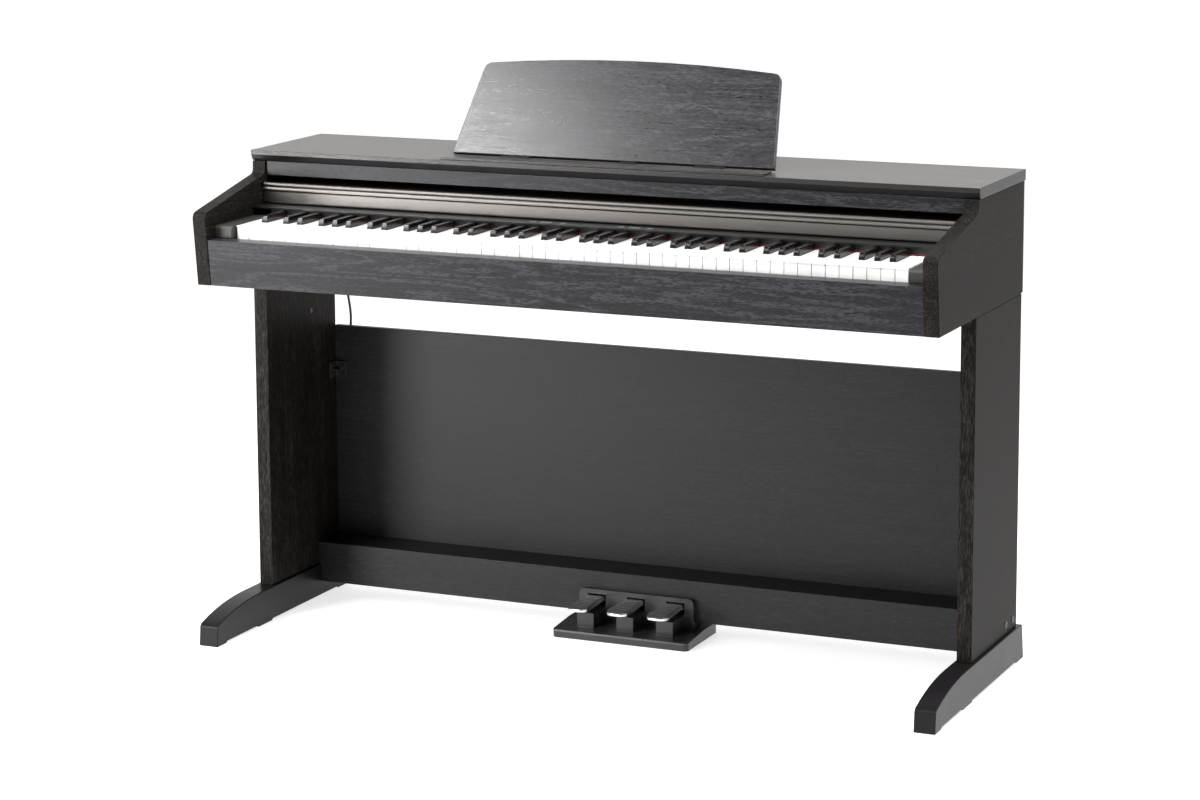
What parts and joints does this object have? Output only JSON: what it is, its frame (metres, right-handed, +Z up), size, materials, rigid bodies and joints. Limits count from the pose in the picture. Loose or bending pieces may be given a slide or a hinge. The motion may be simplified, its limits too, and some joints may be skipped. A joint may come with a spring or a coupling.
{
  "type": "digital piano on stand",
  "caption": "Digital piano cabinet with a full keyboard, sliding key cover and folding music rest, on a panel stand with long feet and a pedal unit.",
  "frame": {"origin": "on the floor, at the centre of the footprint of the two feet", "axes": "+X towards the treble end, -Y towards the player, +Z up"},
  "size_m": [1.358, 0.492, 1.0249],
  "materials": {
    "woodgrain_laminate": "satin charcoal woodgrain",
    "stand_laminate": "satin dark woodgrain",
    "foot_plastic": "satin moulded",
    "cover_satin": "satin brushed film",
    "control_black": "satin black",
    "button_grey": "matte",
    "end_block_grey": "fine texture",
    "white_key": "semi-gloss white",
    "black_key": "satin black",
    "red_felt": "felt",
    "chassis_steel": "black paint",
    "key_chassis": "moulded black",
    "speaker_black": "matte",
    "circuit_board": "solder mask",
    "pedal_housing_gloss": "gloss",
    "pedal_metal": "polished",
    "cable_rubber": "matte sheath"
  },
  "bodies": {
    "cabinet_and_stand": {"back_panel": "stand_laminate", "bottom_board": "stand_laminate", "cheek_left": "woodgrain_laminate", "cheek_right": "woodgrain_laminate", "control_panel": "control_black", "corner_bracket_left": "chassis_steel", "corner_bracket_right": "chassis_steel", "end_block_left": "end_block_grey", "end_block_right": "end_block_grey", "fascia": "woodgrain_laminate", "foot_left": "foot_plastic", "foot_right": "foot_plastic", "front_panel": "woodgrain_laminate", "key_frame": "key_chassis", "key_slip": "control_black", "leg_left": "stand_laminate", "leg_right": "stand_laminate", "lid": "woodgrain_laminate", "main_board": "circuit_board", "name_felt": "red_felt", "pedal_cable": "cable_rubber", "pedal_housing": "pedal_housing_gloss", "rear_panel": "stand_laminate", "rest_hinge": "chassis_steel", "rest_ledge": "woodgrain_laminate", "speaker_left": "speaker_black", "speaker_right": "speaker_black", "stretcher": "stand_laminate"},
    "keys_white_a0_b1": {"keys_white_a0_b1": "white_key"},
    "keys_black_a0_b1": {"keys_black_a0_b1": "black_key"},
    "keys_white_c2_b3": {"keys_white_c2_b3": "white_key"},
    "keys_black_c2_b3": {"keys_black_c2_b3": "black_key"},
    "keys_white_c5_b6": {"keys_white_c5_b6": "white_key"},
    "keys_black_c5_b6": {"keys_black_c5_b6": "black_key"},
    "keys_white_c7_c8": {"keys_white_c7_c8": "white_key"},
    "keys_black_c7_c8": {"keys_black_c7_c8": "black_key"},
    "key_c4": {"key_c4": "white_key"},
    "key_d4": {"key_d4": "white_key"},
    "key_e4": {"key_e4": "white_key"},
    "key_f4": {"key_f4": "white_key"},
    "key_g4": {"key_g4": "white_key"},
    "key_a4": {"key_a4": "white_key"},
    "key_b4": {"key_b4": "white_key"},
    "key_c_sharp_4": {"key_c_sharp_4": "black_key"},
    "key_d_sharp_4": {"key_d_sharp_4": "black_key"},
    "key_f_sharp_4": {"key_f_sharp_4": "black_key"},
    "key_g_sharp_4": {"key_g_sharp_4": "black_key"},
    "key_a_sharp_4": {"key_a_sharp_4": "black_key"},
    "button_volume_down": {"button_volume_down": "button_grey"},
    "button_power": {"button_power": "button_grey"},
    "button_volume_up": {"button_volume_up": "button_grey"},
    "button_select_down": {"button_select_down": "button_grey"},
    "button_function": {"button_function": "button_grey"},
    "button_select_up": {"button_select_up": "button_grey"},
    "pedal_left": {"pedal_left": "pedal_metal"},
    "pedal_middle": {"pedal_middle": "pedal_metal"},
    "pedal_right": {"pedal_right": "pedal_metal"},
    "key_cover": {"key_cover_handle": "cover_satin", "key_cover_panel": "cover_satin"},
    "music_rest": {"music_rest": "woodgrain_laminate"}
  },
  "joints": [
    {"name": "keys_white_a0_b1_press", "type": "hinge", "parent": "cabinet_and_stand", "child": "keys_white_a0_b1", "pos_m": [0, 0.03, 0.728], "axis": [1, 0, 0], "range_deg": [0, 2.5], "stiffness_Nm_per_rad": 9, "springref_deg": -11.46},
    {"name": "keys_black_a0_b1_press", "type": "hinge", "parent": "cabinet_and_stand", "child": "keys_black_a0_b1", "pos_m": [0, 0.03, 0.728], "axis": [1, 0, 0], "range_deg": [0, 2.5], "stiffness_Nm_per_rad": 6, "springref_deg": -11.46},
    {"name": "keys_white_c2_b3_press", "type": "hinge", "parent": "cabinet_and_stand", "child": "keys_white_c2_b3", "pos_m": [0, 0.03, 0.728], "axis": [1, 0, 0], "range_deg": [0, 2.5], "stiffness_Nm_per_rad": 14, "springref_deg": -11.46},
    {"name": "keys_black_c2_b3_press", "type": "hinge", "parent": "cabinet_and_stand", "child": "keys_black_c2_b3", "pos_m": [0, 0.03, 0.728], "axis": [1, 0, 0], "range_deg": [0, 2.5], "stiffness_Nm_per_rad": 10, "springref_deg": -11.46},
    {"name": "keys_white_c5_b6_press", "type": "hinge", "parent": "cabinet_and_stand", "child": "keys_white_c5_b6", "pos_m": [0, 0.03, 0.728], "axis": [1, 0, 0], "range_deg": [0, 2.5], "stiffness_Nm_per_rad": 14, "springref_deg": -11.46},
    {"name": "keys_black_c5_b6_press", "type": "hinge", "parent": "cabinet_and_stand", "child": "keys_black_c5_b6", "pos_m": [0, 0.03, 0.728], "axis": [1, 0, 0], "range_deg": [0, 2.5], "stiffness_Nm_per_rad": 10, "springref_deg": -11.46},
    {"name": "keys_white_c7_c8_press", "type": "hinge", "parent": "cabinet_and_stand", "child": "keys_white_c7_c8", "pos_m": [0, 0.03, 0.728], "axis": [1, 0, 0], "range_deg": [0, 2.5], "stiffness_Nm_per_rad": 8, "springref_deg": -11.46},
    {"name": "keys_black_c7_c8_press", "type": "hinge", "parent": "cabinet_and_stand", "child": "keys_black_c7_c8", "pos_m": [0, 0.03, 0.728], "axis": [1, 0, 0], "range_deg": [0, 2.5], "stiffness_Nm_per_rad": 5, "springref_deg": -11.46},
    {"name": "key_c4_press", "type": "hinge", "parent": "cabinet_and_stand", "child": "key_c4", "pos_m": [0, 0.03, 0.728], "axis": [1, 0, 0], "range_deg": [0, 2.5], "stiffness_Nm_per_rad": 1, "springref_deg": -11.46},
    {"name": "key_d4_press", "type": "hinge", "parent": "cabinet_and_stand", "child": "key_d4", "pos_m": [0, 0.03, 0.728], "axis": [1, 0, 0], "range_deg": [0, 2.5], "stiffness_Nm_per_rad": 1, "springref_deg": -11.46},
    {"name": "key_e4_press", "type": "hinge", "parent": "cabinet_and_stand", "child": "key_e4", "pos_m": [0, 0.03, 0.728], "axis": [1, 0, 0], "range_deg": [0, 2.5], "stiffness_Nm_per_rad": 1, "springref_deg": -11.46},
    {"name": "key_f4_press", "type": "hinge", "parent": "cabinet_and_stand", "child": "key_f4", "pos_m": [0, 0.03, 0.728], "axis": [1, 0, 0], "range_deg": [0, 2.5], "stiffness_Nm_per_rad": 1, "springref_deg": -11.46},
    {"name": "key_g4_press", "type": "hinge", "parent": "cabinet_and_stand", "child": "key_g4", "pos_m": [0, 0.03, 0.728], "axis": [1, 0, 0], "range_deg": [0, 2.5], "stiffness_Nm_per_rad": 1, "springref_deg": -11.46},
    {"name": "key_a4_press", "type": "hinge", "parent": "cabinet_and_stand", "child": "key_a4", "pos_m": [0, 0.03, 0.728], "axis": [1, 0, 0], "range_deg": [0, 2.5], "stiffness_Nm_per_rad": 1, "springref_deg": -11.46},
    {"name": "key_b4_press", "type": "hinge", "parent": "cabinet_and_stand", "child": "key_b4", "pos_m": [0, 0.03, 0.728], "axis": [1, 0, 0], "range_deg": [0, 2.5], "stiffness_Nm_per_rad": 1, "springref_deg": -11.46},
    {"name": "key_c_sharp_4_press", "type": "hinge", "parent": "cabinet_and_stand", "child": "key_c_sharp_4", "pos_m": [0, 0.03, 0.728], "axis": [1, 0, 0], "range_deg": [0, 2.5], "stiffness_Nm_per_rad": 1, "springref_deg": -11.46},
    {"name": "key_d_sharp_4_press", "type": "hinge", "parent": "cabinet_and_stand", "child": "key_d_sharp_4", "pos_m": [0, 0.03, 0.728], "axis": [1, 0, 0], "range_deg": [0, 2.5], "stiffness_Nm_per_rad": 1, "springref_deg": -11.46},
    {"name": "key_f_sharp_4_press", "type": "hinge", "parent": "cabinet_and_stand", "child": "key_f_sharp_4", "pos_m": [0, 0.03, 0.728], "axis": [1, 0, 0], "range_deg": [0, 2.5], "stiffness_Nm_per_rad": 1, "springref_deg": -11.46},
    {"name": "key_g_sharp_4_press", "type": "hinge", "parent": "cabinet_and_stand", "child": "key_g_sharp_4", "pos_m": [0, 0.03, 0.728], "axis": [1, 0, 0], "range_deg": [0, 2.5], "stiffness_Nm_per_rad": 1, "springref_deg": -11.46},
    {"name": "key_a_sharp_4_press", "type": "hinge", "parent": "cabinet_and_stand", "child": "key_a_sharp_4", "pos_m": [0, 0.03, 0.728], "axis": [1, 0, 0], "range_deg": [0, 2.5], "stiffness_Nm_per_rad": 1, "springref_deg": -11.46},
    {"name": "key_cover_slide", "type": "hinge", "parent": "cabinet_and_stand", "child": "key_cover", "pos_m": [0, -0.0455, -0.206], "axis": [1, 0, 0], "range_deg": [0, 10.6]},
    {"name": "music_rest_fold", "type": "hinge", "parent": "cabinet_and_stand", "child": "music_rest", "pos_m": [0, 0.02551, 0.858], "axis": [-1, 0, 0], "range_deg": [0, 58]},
    {"name": "pedal_left_press", "type": "hinge", "parent": "cabinet_and_stand", "child": "pedal_left", "pos_m": [0, 0.165, 0.057], "axis": [1, 0, 0], "range_deg": [0, 5], "stiffness_Nm_per_rad": 8, "springref_deg": -5.73},
    {"name": "pedal_middle_press", "type": "hinge", "parent": "cabinet_and_stand", "child": "pedal_middle", "pos_m": [0, 0.165, 0.057], "axis": [1, 0, 0], "range_deg": [0, 5], "stiffness_Nm_per_rad": 8, "springref_deg": -5.73},
    {"name": "pedal_right_press", "type": "hinge", "parent": "cabinet_and_stand", "child": "pedal_right", "pos_m": [0, 0.165, 0.057], "axis": [1, 0, 0], "range_deg": [0, 5], "stiffness_Nm_per_rad": 8, "springref_deg": -5.73},
    {"name": "button_volume_down_press", "type": "slide", "parent": "cabinet_and_stand", "child": "button_volume_down", "axis": [0, 0, -1], "range_m": [0, 0.0012], "stiffness_N_per_m": 400, "springref_m": -0.002},
    {"name": "button_power_press", "type": "slide", "parent": "cabinet_and_stand", "child": "button_power", "axis": [0, 0, -1], "range_m": [0, 0.0012], "stiffness_N_per_m": 400, "springref_m": -0.002},
    {"name": "button_volume_up_press", "type": "slide", "parent": "cabinet_and_stand", "child": "button_volume_up", "axis": [0, 0, -1], "range_m": [0, 0.0012], "stiffness_N_per_m": 400, "springref_m": -0.002},
    {"name": "button_select_down_press", "type": "slide", "parent": "cabinet_and_stand", "child": "button_select_down", "axis": [0, 0, -1], "range_m": [0, 0.0012], "stiffness_N_per_m": 400, "springref_m": -0.002},
    {"name": "button_function_press", "type": "slide", "parent": "cabinet_and_stand", "child": "button_function", "axis": [0, 0, -1], "range_m": [0, 0.0012], "stiffness_N_per_m": 400, "springref_m": -0.002},
    {"name": "button_select_up_press", "type": "slide", "parent": "cabinet_and_stand", "child": "button_select_up", "axis": [0, 0, -1], "range_m": [0, 0.0012], "stiffness_N_per_m": 400, "springref_m": -0.002}
  ]
}
